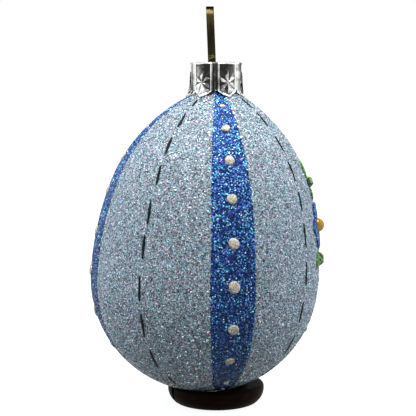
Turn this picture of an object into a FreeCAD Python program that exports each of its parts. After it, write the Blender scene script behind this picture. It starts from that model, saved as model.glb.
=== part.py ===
import FreeCAD
import Part
import math
import os

from FreeCAD import Vector

# A blown glass egg ornament with glitter bands and a floral relief, standing in a split ring.
# Lengths are in mm and angles in degrees. The origin is the middle of the ring's foot, +Z is up.
# An azimuth is counted about +Z from the front (-Y) towards +X.

# Glass: a hand-blown bulb that hangs a little askew below its upright neck.
glass_radius = 33.35
flank_radius = 90.0
flank_turn = 16.6
shoulder_radius = 47.1
glass_wall = 0.9
sealed_tip_radius = 0.8
bulb_lean = 4.8
lean_azimuth = 77.0
seam_azimuth = -124.0     # where the turned surfaces close, away from any edge of the coats
belly_shift = 3.5
tip_height = 3.55          # of the glass above the floor
neck_radius = 5.6
neck_bore = 4.6
neck_length = 8.3          # above the shoulder

# Glitter coat and everything painted or glued on it.
coat_depth = 0.35
collar_gap = 0.6
band_places = {            # azimuth of the middle, and width as an angle
    "front": (8.6, 22.4),
    "left": (-82.5, 29.0),
    "back": (-171.4, 22.4),
}
panel_azimuth = 106.0
dot_step = 12.0
dot_start = 6.6
dot_count = 10
dot_step_shrink = 0.38
dot_size_shrink = 0.45
dot_diameter = 3.2
dot_height = 0.6
stitch_depth = 0.08
stitch_length = 5.5
stitch_width = 0.7
stitch_taper = 0.3
stitch_step = 10.0
stitch_start = 10.3
stitch_count = 10
stitch_azimuths = {"left": -34.7, "right": 57.5, "back_right": 148.0, "back_left": -128.6}

# Floral relief: the places of its flowers, leaves and stones on the egg.
petal_depth = 0.45
petal_count = 6
petal_reach = 7.5
petal_width = 5.0
leaf_depth = 0.4
leaf_width = 2.4
amber_diameter = 4.8
amber_height = 2.1
green_height = 1.5
trim_gap = 0.06
flower_offset = 22.5
flower_height = 52.9
lower_flower_height = 35.0
leaf_places = {
    "upper": (-26.5, 69.6, 12.0, 6.0),
    "shoulder": (-26.0, 62.3, -12.0, 3.8),
    "middle": (-31.4, 43.2, 20.0, 5.4),
    "side": (-12.5, 24.6, 40.0, 5.6),
}
stone_places = {
    "upper": (-25.5, 65.6, 3.5),
    "middle": (-25.5, 43.2, 4.2),
    "side": (-6.5, 20.8, 3.2),
}

# Cap: stamped sheet with shield-shaped panels between sharp pleats.
panel_count = 6
panel_radius = 7.45
cap_sheet = 0.45
cap_fit = 0.07
cap_seat = 0.05
cap_tip_drop = 1.0         # below the shoulder
cap_notch_rise = 1.8       # above the shoulder
cap_turn = -3.0
pleat_half_angle = 5.0
pleat_inner_angle = 9.5
pleat_sheet = 0.58
cap_glitter_gap = 0.2

# Hanger: one flat strip of spring metal, broad side to the front.
strip_width = 2.25
strip_thickness = 0.5
slot_fit = 0.08
hanger_shift = 1.23
hanger_sway = 2.3
hole_offset = 2.5
loop_half_width = 3.6
loop_height = 16.0
shoulder_start = 0.7
shoulder_rise = 1.4
straight_leg = 5.2
spring_leg = 13.0
kink_drop = 1.8
kink_radius = 0.9
leg_gap = 0.1

# Ring that the egg stands in.
ring_radius = 14.3
foot_radius = 12.3
ring_bore = 8.6
ring_height = 5.2
ring_edge = 0.9
ring_bulge = 0.35
ring_bulge_height = 1.45
seat_gap = 0.1
slit_width = 1.2
slit_azimuth = -62.0

parts_folder = "parts"
far = 80.0
belly_height = tip_height + glass_radius


def neck_root():
    """Height at which the neck leaves the shoulder, to a tenth."""
    turn = math.radians(flank_turn)
    reach = flank_radius - shoulder_radius
    across = neck_radius - (glass_radius - flank_radius + reach * math.cos(turn))
    rise = reach * math.sin(turn) + math.sqrt(shoulder_radius ** 2 - across ** 2)
    return round(belly_height + rise, 1)


neck_top = neck_root() + neck_length
cap_tip = neck_root() - cap_tip_drop
cap_notch = neck_root() + cap_notch_rise
cap_under = neck_top + cap_seat
cap_top = cap_under + cap_sheet


def direction(azimuth):
    """Horizontal unit vector at an azimuth."""
    angle = math.radians(azimuth)
    return Vector(math.sin(angle), -math.cos(angle), 0)


lean_out = direction(lean_azimuth)
pivot = Vector(0, 0, belly_height) - lean_out * belly_shift


def bulb_arcs(offset):
    """Centres and radii of the belly, flank and shoulder arcs, moved outwards by an offset."""
    turn = math.radians(flank_turn)
    flank_x = glass_radius - flank_radius
    reach = flank_radius - shoulder_radius
    shoulder = (flank_x + reach * math.cos(turn), reach * math.sin(turn))
    return [((0.0, 0.0), glass_radius + offset), ((flank_x, 0.0), flank_radius + offset),
            (shoulder, shoulder_radius + offset)]


def on_arc(arc, angle):
    """Point of an arc at an angle, in the bulb's own upright frame."""
    (x, z), radius = arc
    return Vector(x + radius * math.cos(angle), 0, z + radius * math.sin(angle))


def bulb(offset):
    """Closed solid inside the bulb's surface, moved outwards by an offset and set askew."""
    belly, flank, shoulder = bulb_arcs(offset)
    turn = math.radians(flank_turn)
    crown_radius = neck_bore / 2
    crown = math.acos((crown_radius - shoulder[0][0]) / shoulder[1])
    tip = on_arc(belly, -math.acos(sealed_tip_radius / belly[1]))
    waist = on_arc(belly, 0.0)
    joint = on_arc(flank, turn)
    top = on_arc(shoulder, crown)
    axis_top = Vector(0, 0, top.z)
    axis_tip = Vector(0, 0, tip.z)
    edges = [
        Part.makeLine(axis_tip, tip),
        Part.Arc(tip, on_arc(belly, -math.pi / 4), waist).toShape(),
        Part.Arc(waist, on_arc(flank, turn / 2), joint).toShape(),
        Part.Arc(joint, on_arc(shoulder, (turn + crown) / 2), top).toShape(),
        Part.makeLine(top, axis_top),
        Part.makeLine(axis_top, axis_tip),
    ]
    solid = Part.Face(Part.Wire(edges)).revolve(Vector(0, 0, 0), Vector(0, 0, 1), 360)
    solid.rotate(Vector(0, 0, 0), Vector(0, 0, 1), seam_azimuth - 90)
    solid.rotate(Vector(0, 0, 0), Vector(0, 0, 1).cross(lean_out), bulb_lean)
    solid.translate(pivot)
    return solid


def bulb_width(height, offset):
    """Radius of the bulb about its own axis at a height above the belly's centre."""
    belly, flank, shoulder = bulb_arcs(offset)
    joint = on_arc(flank, math.radians(flank_turn)).z
    (x, z), radius = belly if height < 0 else flank if height < joint else shoulder
    return x + math.sqrt(max(radius ** 2 - (height - z) ** 2, 0.0))


def inside_bulb(point, offset):
    """Whether a point lies inside the bulb's surface moved outwards by an offset."""
    lean = math.radians(bulb_lean)
    axis = lean_out * math.sin(lean) + Vector(0, 0, math.cos(lean))
    reach = point - pivot
    along = reach.dot(axis)
    if along < -(glass_radius + offset):
        return False
    return (reach - axis * along).Length < bulb_width(along, offset)


def surface_point(azimuth, height, offset):
    """Point of the bulb's surface straight out from the neck's axis."""
    near, away = 0.0, far
    while away - near > 1e-6:
        middle = (near + away) / 2
        point = direction(azimuth) * middle + Vector(0, 0, height)
        if inside_bulb(point, offset):
            near = middle
        else:
            away = middle
    return direction(azimuth) * near + Vector(0, 0, height)


def surface_frame(azimuth, height, offset):
    """Point, outward normal, sideways and upward directions on the bulb's surface."""
    step = 0.01
    point = surface_point(azimuth, height, offset)
    side_point = surface_point(azimuth + step, height, offset)
    up_point = surface_point(azimuth, height + step, offset)
    side = (side_point - point).normalize()
    normal = side.cross(up_point - point).normalize()
    return point, normal, side, normal.cross(side).normalize()


def spaced_heights(azimuth, start, steps, offset):
    """Heights of points along the bulb, each a step further up than the one before."""
    climb = 0.05
    heights = [start]
    height = start
    last = surface_point(azimuth, height, offset)
    for step in steps:
        walked = 0.0
        while walked < step:
            height += climb
            point = surface_point(azimuth, height, offset)
            walked += (point - last).Length
            last = point
        heights.append(height)
    return heights


def placed_outline(points, frame, depth):
    """Prism through the bulb's surface, from outline points given sideways and upwards."""
    point, normal, side, up = frame
    corners = [point - normal * depth + side * u + up * v for u, v in points]
    face = Part.Face(Part.makePolygon(corners + corners[:1]))
    return face.extrude(normal * (2 * depth))


def pointed_oval(length, width, turn, shift):
    """Outline of a petal or leaf along a turned direction, from a shift outwards."""
    steps = 10
    fullness = 0.8
    outline = []
    for k in range(2 * steps):
        share = k / steps if k < steps else 2 - k / steps
        sign = 1 if k < steps else -1
        half = sign * width / 2 * math.sin(math.pi * share) ** fullness if 0 < share < 1 else 0.0
        along = shift + length * share
        angle = math.radians(turn)
        outline.append((along * math.sin(angle) + half * math.cos(angle),
                        along * math.cos(angle) - half * math.sin(angle)))
    return outline


def wedge(azimuth, width):
    """Upright wedge of space about the neck's axis, under half a turn wide."""
    corners = [Vector(0, 0, 0)]
    for share in (-0.5, 0.0, 0.5):
        corners.append(direction(azimuth + width * share) * (2 * far))
    face = Part.Face(Part.makePolygon(corners + corners[:1]))
    return face.extrude(Vector(0, 0, 2 * far))


def group(solids):
    """Separate solids that share one node."""
    return Part.makeCompound([piece for solid in solids for piece in solid.Solids])


def save(name, shape):
    """Writes one node and reports its size."""
    assert shape.isValid(), name
    shape.exportStep(os.path.join(parts_folder, name + ".step"))
    box = shape.BoundBox
    print(name, len(shape.Solids), round(shape.Volume, 2), round(box.ZMin, 2), round(box.ZMax, 2))


def glass_egg():
    """Hollow bulb with an open upright neck."""
    neck = Part.makeCylinder(neck_radius, neck_top - belly_height, Vector(0, 0, belly_height))
    bore = Part.makeCylinder(neck_bore, neck_top - belly_height + 1, Vector(0, 0, belly_height))
    return bulb(0.0).fuse(neck).cut(bulb(-glass_wall).fuse(bore)).Solids[0]


def glitter_coats(glass_skin, coat_skin):
    """Blue bands, and the pale fields that fill the space between them."""
    collar = Part.makeCylinder(neck_radius + collar_gap, neck_top, Vector(0, 0, belly_height))
    coat = coat_skin.cut(glass_skin).cut(collar)
    start, end = {}, {}
    for name, (azimuth, width) in band_places.items():
        yield "blue_band_" + name, coat.common(wedge(azimuth, width))
        start[name] = azimuth - width / 2
        end[name] = azimuth + width / 2
    fields = {
        "left": (end["left"], start["front"]),
        "back": (end["back"], start["left"]),
        "floral": (end["front"], start["back"] + 360),
    }
    for name, (start, end) in fields.items():
        yield "pale_field_" + name, coat.common(wedge((start + end) / 2, end - start))


def ball_at(frame, radius, rise):
    """Ball that rises out of the surface, its poles and seam away from the side that shows."""
    point, normal, side, up = frame
    ball = Part.makeSphere(radius)
    turn = FreeCAD.Rotation(normal * -1, side * -1, up, "ZXY")
    ball.Placement = FreeCAD.Placement(point - normal * (radius - rise), turn)
    return ball


def band_dots(azimuth, coat_skin):
    """Row of glitter dots down the middle of a band, smaller towards both ends."""
    middle = (dot_count - 1) / 2
    steps = [dot_step * (1 - dot_step_shrink * abs((k + 0.5 - middle) / (middle - 0.5)) ** 4)
             for k in range(dot_count - 1)]
    dots = []
    for k, height in enumerate(spaced_heights(azimuth, dot_start, steps, coat_depth)):
        shrink = 1 - dot_size_shrink * abs((k - middle) / middle) ** 2.5
        radius = dot_diameter / 2 * shrink
        rise = dot_height * shrink
        ball = (radius ** 2 + rise ** 2) / (2 * rise)
        frame = surface_frame(azimuth, height, coat_depth)
        dots.append(ball_at(frame, ball, rise).cut(coat_skin))
    return group(dots)


def stitch_line(azimuth, coat_skin, paint_skin):
    """Line of painted dashes down the egg."""
    half_width, half_length = stitch_width / 2, stitch_length / 2
    tip_width, body_length = half_width * stitch_taper, half_length * (1 - stitch_taper)
    outline = [(-tip_width, -half_length), (tip_width, -half_length),
               (half_width, -body_length), (half_width, body_length),
               (tip_width, half_length), (-tip_width, half_length),
               (-half_width, body_length), (-half_width, -body_length)]
    dashes = []
    steps = [stitch_step] * (stitch_count - 1)
    for height in spaced_heights(azimuth, stitch_start, steps, coat_depth):
        prism = placed_outline(outline, surface_frame(azimuth, height, coat_depth), 1.0)
        dashes.append(prism.common(paint_skin).cut(coat_skin))
    return group(dashes)


def stone(azimuth, height, diameter, rise, coat_skin):
    """Domed glass stone glued to the coat."""
    radius = diameter / 2
    ball = (radius ** 2 + rise ** 2) / (2 * rise)
    point, normal, side, up = surface_frame(azimuth, height, coat_depth)
    core = Part.makeCylinder(radius, 3 * rise, point - normal * rise, normal)
    return Part.makeSphere(ball, point - normal * (ball - rise)).common(core).cut(coat_skin)


def stone_clearance(azimuth, height, diameter):
    """Round space that petals and leaves leave free for a stone."""
    point, normal, side, up = surface_frame(azimuth, height, coat_depth)
    return Part.makeCylinder(diameter / 2 + trim_gap, 6.0, point - normal * 3.0, normal)


def flower_places():
    """Azimuth and height of each flower's middle."""
    return {
        "right": (panel_azimuth - flower_offset, flower_height),
        "rear": (panel_azimuth + flower_offset, flower_height),
        "lower": (panel_azimuth, lower_flower_height),
    }


def petals(azimuth, height, coat_skin, petal_skin):
    """Ring of raised petals about a flower's stone."""
    frame = surface_frame(azimuth, height, coat_depth)
    start = amber_diameter / 2 + trim_gap
    pieces = []
    for k in range(petal_count):
        turn = 90 + k * 360 / petal_count
        outline = pointed_oval(petal_reach - start, petal_width, turn, start)
        prism = placed_outline(outline, frame, 2.5)
        pieces.append(prism.common(petal_skin).cut(coat_skin))
    return pieces


def mirrored(offset):
    """Azimuths at an offset to both sides of the floral panel's middle."""
    return {"right": panel_azimuth + offset, "rear": panel_azimuth - offset}


def leaf_and_stone_nodes(coat_skin, leaf_skin):
    """Leaves and green stones about the flowers, the same on both sides of the panel."""
    spaces = []
    for name, (offset, height, diameter) in stone_places.items():
        for side, azimuth in mirrored(offset).items():
            yield "green_stone_" + name + "_" + side, stone(azimuth, height, diameter,
                                                            green_height, coat_skin)
            spaces.append(stone_clearance(azimuth, height, diameter))
    for name, (offset, height, tilt, length) in leaf_places.items():
        for side, azimuth in mirrored(offset).items():
            turn = tilt if side == "right" else -tilt
            outline = pointed_oval(length, leaf_width, turn, -length / 2)
            prism = placed_outline(outline, surface_frame(azimuth, height, coat_depth), 2.0)
            leaf = prism.common(leaf_skin).cut(coat_skin)
            for space in spaces:
                leaf = leaf.cut(space)
            yield "leaf_" + name + "_" + side, group([leaf])


def lobed_face(panel, pleat, half_angle, height):
    """Flat outline of the cap's skirt: round panels with a sharp pleat between two."""
    pitch = 360 / panel_count
    edges = []
    for k in range(panel_count):
        start = cap_turn + k * pitch
        pleat_point = direction(start) * pleat
        first = direction(start + half_angle) * panel
        middle = direction(start + pitch / 2) * panel
        last = direction(start + pitch - half_angle) * panel
        edges.append(Part.makeLine(pleat_point, first))
        edges.append(Part.Arc(first, middle, last).toShape())
        edges.append(Part.makeLine(last, direction(start + pitch) * pleat))
    face = Part.Face(Part.Wire(edges))
    face.translate(Vector(0, 0, height))
    return face


def cap(coat_guard):
    """Stamped cap: lobed skirt with pointed panels, flat top with two slots."""
    pleat_inside = neck_radius + cap_fit
    pleat_outside = pleat_inside + pleat_sheet
    bottom = cap_tip - 1
    outer = lobed_face(panel_radius, pleat_outside, pleat_half_angle, bottom)
    outer = outer.extrude(Vector(0, 0, cap_top - bottom))
    inner = lobed_face(panel_radius - cap_sheet, pleat_inside, pleat_inner_angle, bottom - 1)
    inner = inner.extrude(Vector(0, 0, cap_under - bottom + 1))
    shell = outer.cut(inner)
    half_pitch = panel_radius * math.sin(math.pi / panel_count)
    slope = (cap_notch - cap_tip) / half_pitch
    notch_half_width = (cap_notch - bottom) / slope
    for k in range(panel_count):
        out = direction(cap_turn + k * 360 / panel_count)
        side = Vector(-out.y, out.x, 0)
        low = Vector(0, 0, bottom)
        corners = [low - side * notch_half_width, low + side * notch_half_width,
                   Vector(0, 0, cap_notch)]
        face = Part.Face(Part.makePolygon(corners + corners[:1]))
        shell = shell.cut(face.extrude(out * (2 * panel_radius)))
    slot = Vector(strip_width, strip_thickness, 0) + Vector(slot_fit, slot_fit, 0) * 2
    for sign in (-1, 1):
        corner = hanger_point(sign * hole_offset, cap_under - 1) - slot / 2
        shell = shell.cut(Part.makeBox(slot.x, slot.y, cap_sheet + 2, corner))
    return shell.cut(coat_guard).Solids[0]


def hanger_point(across, height):
    """Point in the middle plane of the hanger's legs."""
    return Vector(-hanger_shift, across, height)


def bent_strip(points, radii, width):
    """Flat strip along straight runs joined by tangent arcs, in a plane across X."""
    edges = []
    start = points[0]
    for before, corner, after, radius in zip(points, points[1:], points[2:], radii):
        back = (before - corner).normalize()
        onward = (after - corner).normalize()
        half = back.getAngle(onward) / 2
        reach = radius / math.tan(half)
        middle_way = (back + onward).normalize()
        middle = corner + middle_way * (radius / math.sin(half) - radius)
        edges.append(Part.makeLine(start, corner + back * reach))
        edges.append(Part.Arc(corner + back * reach, middle, corner + onward * reach).toShape())
        start = corner + onward * reach
    edges.append(Part.makeLine(start, points[-1]))
    side = Vector(width / 2, 0, 0)
    face = (points[1] - points[0]).normalize().cross(side).normalize() * (strip_thickness / 2)
    corners = [points[0] - side - face, points[0] + side - face,
               points[0] + side + face, points[0] - side + face]
    section = Part.makePolygon(corners + corners[:1])
    return Part.Wire(edges).makePipeShell([section], True, False)


def hanger():
    """Spring strip: two legs through the cap, shoulders that rest on it, and a loop."""
    corner_reach = hanger_shift + strip_width / 2
    leg_spread = math.sqrt((neck_bore - leg_gap) ** 2 - corner_reach ** 2) - strip_thickness / 2
    crown = loop_height - strip_thickness / 2
    half = [
        (leg_spread, -spring_leg), (leg_spread, -straight_leg - kink_drop),
        (hole_offset, -straight_leg), (hole_offset, shoulder_start),
        (loop_half_width, shoulder_start + shoulder_rise), (loop_half_width, crown),
    ]
    half_radii = [kink_radius, kink_radius, kink_radius, kink_radius, loop_half_width - 0.1]
    points = []
    for sign in (-1, 1):
        run = [hanger_point(sign * across, cap_top + rise) for across, rise in half]
        points += run if sign < 0 else run[::-1]
    radii = half_radii + half_radii[::-1]
    blank = bent_strip(points, radii, 4 * strip_width)
    side = Vector(strip_width / 2, 0, 0)
    top_rise = loop_height + 1
    sway = (top_rise - shoulder_start) * math.tan(math.radians(hanger_sway))
    foot = hanger_point(-far, cap_top - spring_leg - 1)
    bend = hanger_point(-far, cap_top + shoulder_start)
    top = hanger_point(-far, cap_top + top_rise) - Vector(sway, 0, 0)
    corners = [foot - side, foot + side, bend + side, top + side, top - side, bend - side]
    edge_cut = Part.Face(Part.makePolygon(corners + corners[:1])).extrude(Vector(0, 2 * far, 0))
    return blank.common(edge_cut).Solids[0]


def ring_stand(seat_skin):
    """Split ring with a round side and a seat cut to the egg's surface."""
    rim = Vector(ring_radius, 0, ring_height - ring_edge)
    rim_middle = ring_edge * (1 - math.sqrt(0.5))
    foot = Vector(foot_radius, 0, 0)
    bulge = Vector((foot_radius + ring_radius) / 2 + ring_bulge, 0, ring_bulge_height)
    top = Vector(ring_radius - ring_edge, 0, ring_height)
    bore_top = Vector(ring_bore, 0, ring_height)
    bore_foot = Vector(ring_bore, 0, 0)
    edges = [
        Part.makeLine(bore_foot, foot),
        Part.Arc(foot, bulge, rim).toShape(),
        Part.Arc(rim, Vector(ring_radius - rim_middle, 0, ring_height - rim_middle), top).toShape(),
        Part.makeLine(top, bore_top),
        Part.makeLine(bore_top, bore_foot),
    ]
    ring = Part.Face(Part.Wire(edges)).revolve(Vector(0, 0, 0), Vector(0, 0, 1), 360)
    out = direction(slit_azimuth)
    side = Vector(-out.y, out.x, 0) * (slit_width / 2)
    corners = [-side, side, side + out * far, out * far - side]
    slit = Part.Face(Part.makePolygon(corners + corners[:1])).extrude(Vector(0, 0, 2 * ring_height))
    slit.translate(Vector(0, 0, -ring_height / 2))
    return ring.cut(slit).cut(seat_skin).Solids[0]


def main():
    os.makedirs(parts_folder, exist_ok=True)
    glass_skin = bulb(0.0)
    coat_skin = bulb(coat_depth)
    paint_skin = bulb(coat_depth + stitch_depth)
    leaf_skin = bulb(coat_depth + leaf_depth)
    petal_skin = bulb(coat_depth + petal_depth)
    save("ring_stand", ring_stand(bulb(coat_depth + seat_gap)))
    save("glass_egg", glass_egg())
    for name, coat in glitter_coats(glass_skin, coat_skin):
        save(name, group([coat]))
    for name, (azimuth, width) in band_places.items():
        save("dots_" + name, band_dots(azimuth, coat_skin))
    for name, azimuth in stitch_azimuths.items():
        save("stitches_" + name, stitch_line(azimuth, coat_skin, paint_skin))
    for name, (azimuth, height) in flower_places().items():
        save("petals_" + name, group(petals(azimuth, height, coat_skin, petal_skin)))
        save("amber_stone_" + name, stone(azimuth, height, amber_diameter, amber_height, coat_skin))
    for name, shape in leaf_and_stone_nodes(coat_skin, leaf_skin):
        save(name, shape)
    save("cap", cap(bulb(coat_depth + cap_glitter_gap)))
    save("hanger", hanger())


main()
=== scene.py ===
import math
import random

import bmesh
import bpy
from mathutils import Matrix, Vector, noise


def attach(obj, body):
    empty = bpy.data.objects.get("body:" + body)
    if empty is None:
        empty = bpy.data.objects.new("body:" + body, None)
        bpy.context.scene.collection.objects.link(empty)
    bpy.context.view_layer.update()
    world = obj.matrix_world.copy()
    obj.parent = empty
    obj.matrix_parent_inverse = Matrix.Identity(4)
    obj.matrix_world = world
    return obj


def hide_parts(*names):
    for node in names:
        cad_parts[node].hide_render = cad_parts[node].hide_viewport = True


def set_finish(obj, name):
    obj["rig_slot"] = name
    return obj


# A blown glass egg ornament: glitter bands, painted stitches, a floral relief, a stamped cap, a split ring.
# Shapes are worked out in millimetres about the same origin as the frame, and written in metres.
# An azimuth is counted from the front (-Y) towards +X, in degrees.

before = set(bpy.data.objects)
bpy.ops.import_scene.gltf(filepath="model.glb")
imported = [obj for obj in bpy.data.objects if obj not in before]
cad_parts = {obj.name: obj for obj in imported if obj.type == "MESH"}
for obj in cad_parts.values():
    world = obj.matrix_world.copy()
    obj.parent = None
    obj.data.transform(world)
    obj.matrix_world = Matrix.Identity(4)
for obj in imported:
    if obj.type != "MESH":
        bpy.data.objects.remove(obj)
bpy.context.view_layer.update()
scene = bpy.context.scene
print("frame loaded:", len(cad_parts), "nodes")

mm = 0.001
egg = {
    "beltRadius": 33.35,
    "flankRadius": 90.0,
    "flankTurn": 16.6,
    "shoulderRadius": 47.1,
    "lean": 4.8,
    "leanAzimuth": 77.0,
    "beltShift": 3.5,
    "beltHeight": 36.9,
    "neckRadius": 5.6,
    "coat": 0.35,  # glitter on the glass
    "bands": {"front": (-2.6, 19.8), "left": (-97.0, -68.0), "back": (-182.6, -160.2)},
    "fields": {"left": (-68.0, -2.6), "back": (-160.2, -97.0), "floral": (19.8, 177.4)},
}


def outwards(azimuth):
    turn = math.radians(azimuth)
    return Vector((math.sin(turn), -math.cos(turn), 0))


leanAxis = outwards(egg["leanAzimuth"]) * math.sin(math.radians(egg["lean"]))
leanAxis.z = math.cos(math.radians(egg["lean"]))
beltMiddle = Vector((0, 0, egg["beltHeight"])) - outwards(egg["leanAzimuth"]) * egg["beltShift"]


def arcAt(along, offset):
    # middle and radius of the arc that shapes the egg at this height on its own axis
    belt, flank, shoulder = egg["beltRadius"], egg["flankRadius"], egg["shoulderRadius"]
    turn = math.radians(egg["flankTurn"])
    if along < 0:
        return 0.0, 0.0, belt + offset
    if along < (flank + offset) * math.sin(turn):
        return belt - flank, 0.0, flank + offset
    reach = flank - shoulder
    return belt - flank + reach * math.cos(turn), reach * math.sin(turn), shoulder + offset


def surfaceAt(point, offset):
    # distance outside the surface, and the way out
    reach = point - beltMiddle
    along = reach.dot(leanAxis)
    across = reach - leanAxis * along
    x, z, radius = arcAt(along, offset)
    out = across.normalized() * (across.length - x) + leanAxis * (along - z)
    return out.length - radius, out.normalized()


def alongRay(start, way, offset, reach=30.0):
    # where a ray from inside the egg meets its surface
    for _ in range(20):
        point = start + way * reach
        gap, normal = surfaceAt(point, offset)
        reach -= gap / max(way.dot(normal), 0.25)
        if abs(gap) < 1e-6:
            break
    return start + way * reach


def onEgg(azimuth, height, offset):
    return alongRay(Vector((0, 0, height)), outwards(azimuth), offset, 20.0)


def placeOn(azimuth, height):
    # point, sideways and upwards directions for anything laid flat on the egg
    point = onEgg(azimuth, height, egg["coat"])
    normal = surfaceAt(point, 0)[1]
    side = Vector((0, 0, 1)).cross(normal).normalized()
    return point, side, normal.cross(side)


def standingOn(out, reach, start, clearance, tries):
    # height of the egg's underside or shoulder, with a clearance, at a distance from the axis
    spot = out * reach + Vector((0, 0, start))
    for _ in range(tries):
        gap, normal = surfaceAt(spot, clearance)
        spot.z -= gap / normal.z
    return spot.z


def laidOn(place, across, up, offset):
    point, side, upwards = place
    spot = point + side * across + upwards * up
    gap, normal = surfaceAt(spot, egg["coat"] + offset)
    return spot - normal * gap


def placed(name, data):
    made = bpy.data.objects.new(name, data)
    scene.collection.objects.link(made)
    return made


def makeObject(name, points, faces, finish, smooth=True):
    mesh = bpy.data.meshes.new(name)
    mesh.from_pydata([p * mm for p in points], [], faces)
    mesh.polygons.foreach_set("use_smooth", [smooth] * len(mesh.polygons))
    mesh.materials.append(finish)
    return placed(name, mesh)


def outwardFaces(mesh):
    work = bmesh.new()
    work.from_mesh(mesh)
    bmesh.ops.remove_doubles(work, verts=work.verts, dist=1e-7)
    bmesh.ops.recalc_face_normals(work, faces=work.faces)
    work.to_mesh(mesh)
    work.free()


def mergedCopy(node, name, finish, creaseAngle=32):
    # a welded, smooth-shaded copy of a CAD node
    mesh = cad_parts[node].data.copy()
    work = bmesh.new()
    work.from_mesh(mesh)
    bmesh.ops.remove_doubles(work, verts=work.verts, dist=2e-6)
    for edge in work.edges:
        edge.smooth = len(edge.link_faces) == 2 and edge.calc_face_angle(0) <= math.radians(creaseAngle)
    for face in work.faces:
        face.smooth = True
    work.to_mesh(mesh)
    work.free()
    mesh.materials.clear()
    mesh.materials.append(finish)
    return placed(name, mesh)


def baked(thing):
    # the object with its modifiers worked into a plain mesh
    view = bpy.context.evaluated_depsgraph_get()
    mesh = bpy.data.meshes.new_from_object(thing.evaluated_get(view), depsgraph=view)
    name = thing.name
    bpy.data.objects.remove(thing)
    mesh.name = name
    return placed(name, mesh)


def settle(piece, body, slot, *nodes):
    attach(piece, body)
    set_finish(piece, slot)
    if nodes:
        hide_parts(*nodes)
    return piece


def addNode(tree, kind, sockets=None, **settings):
    made = tree.nodes.new(kind)
    for key, value in settings.items():
        setattr(made, key, value)
    for key, value in (sockets or {}).items():
        if isinstance(value, bpy.types.NodeSocket):
            tree.links.new(value, made.inputs[key])
        else:
            made.inputs[key].default_value = value
    return made


def newFinish(name, **sockets):
    material = bpy.data.materials.new(name)
    material.use_nodes = True
    for key, value in sockets.items():
        material.node_tree.nodes["Principled BSDF"].inputs[key].default_value = value
    return material, material.node_tree


def plugged(material, tone, **others):
    # joins what varies over the surface to the shader's sockets
    tree = material.node_tree
    inputs = tree.nodes["Principled BSDF"].inputs
    for socket, source in {"Base Color": tone, **others}.items():
        tree.links.new(source, inputs[socket])
    return material


def combined(tree, first, second, operation="ADD"):
    return addNode(tree, "ShaderNodeMath", {0: first, 1: second}, operation=operation).outputs[0]


def storedValue(tree, name):
    return addNode(tree, "ShaderNodeAttribute", attribute_name=name).outputs["Fac"]


def objectPlace(tree):
    return addNode(tree, "ShaderNodeTexCoord").outputs["Object"]


def objectHeight(tree):
    return addNode(tree, "ShaderNodeSeparateXYZ", {0: objectPlace(tree)}).outputs[2]


def stretchedPlace(tree, upScale):
    stretch = {"Vector": objectPlace(tree), "Scale": (1.0, 1.0, upScale)}
    return addNode(tree, "ShaderNodeMapping", stretch).outputs[0]


def clouds(tree, place, scale, detail, **more):
    sockets = {"Vector": place, "Scale": scale, "Detail": detail, **more}
    return addNode(tree, "ShaderNodeTexNoise", sockets).outputs["Fac"]


def ramp(tree, factor, stops, interpolation="LINEAR"):
    made = addNode(tree, "ShaderNodeValToRGB", {"Fac": factor})
    made.color_ramp.interpolation = interpolation
    elements = made.color_ramp.elements
    while len(elements) < len(stops):
        elements.new(0.5)
    for element, (position, colour) in zip(elements, stops):
        element.position = position
        element.color = (*colour, 1)
    return made.outputs["Color"]


def bump(tree, height, strength, distance):
    sockets = {"Height": height, "Strength": strength, "Distance": distance * mm}
    return addNode(tree, "ShaderNodeBump", sockets).outputs["Normal"]


def measure(tree, factor, low, high, toLow, toHigh):
    made = addNode(tree, "ShaderNodeMapRange", {
        "Value": factor, "From Min": low, "From Max": high, "To Min": toLow, "To Max": toHigh})
    return made.outputs["Result"]


def overClouds(tree, cloud, toLow, toHigh):
    # clouds hardly ever leave the range from 0.3 to 0.7
    return measure(tree, cloud, 0.3, 0.7, toLow, toHigh)


def scaled(tree, colour, share):
    return addNode(tree, "ShaderNodeVectorMath", {0: colour, 3: share}, operation="SCALE").outputs[0]


glitter = {
    "shine": 0.12,
    "foot": 12.0,  # the painted light changes between these heights
    "neck": 88.0,
    "groundRoughness": (0.25, 0.7),
    "groundBump": (0.6, 0.08),  # strength and distance
}


def paintedLightUp(tree, colour, low, high):
    # painted light: the colour is scaled darker towards the foot and brighter towards the neck
    share = measure(tree, objectHeight(tree), glitter["foot"] * mm, glitter["neck"] * mm, low, high)
    return scaled(tree, colour, share)


def flakeFinish(name, tones, gleamShare, roughness, dullMetal=0.1, low=1.0, high=1.0):
    # one colour for each loose flake, and a few that mirror the light
    material, tree = newFinish(name, Roughness=roughness, **{"Specular IOR Level": glitter["shine"]})
    tone = paintedLightUp(tree, ramp(tree, storedValue(tree, "tint"), tones, "CONSTANT"), low, high)
    shiny = combined(tree, storedValue(tree, "gleam"), 1 - gleamShare, "GREATER_THAN")
    return plugged(material, tone, Metallic=measure(tree, shiny, 0, 1, dullMetal, 1))


def groundFinish(name, tones, grain, low=1.0, high=1.0):
    # the glitter that lies flat under the loose flakes
    material, tree = newFinish(name, **{"Specular IOR Level": glitter["shine"]})
    cells = addNode(tree, "ShaderNodeTexVoronoi", {"Vector": objectPlace(tree), "Scale": 1 / (grain * mm)})
    split = addNode(tree, "ShaderNodeSeparateColor", {"Color": cells.outputs["Color"]}).outputs
    tone = paintedLightUp(tree, ramp(tree, split[0], tones, "CONSTANT"), low, high)
    return plugged(material, tone, Roughness=measure(tree, split[1], 0, 1, *glitter["groundRoughness"]),
                   Normal=bump(tree, split[2], *glitter["groundBump"]))


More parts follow.
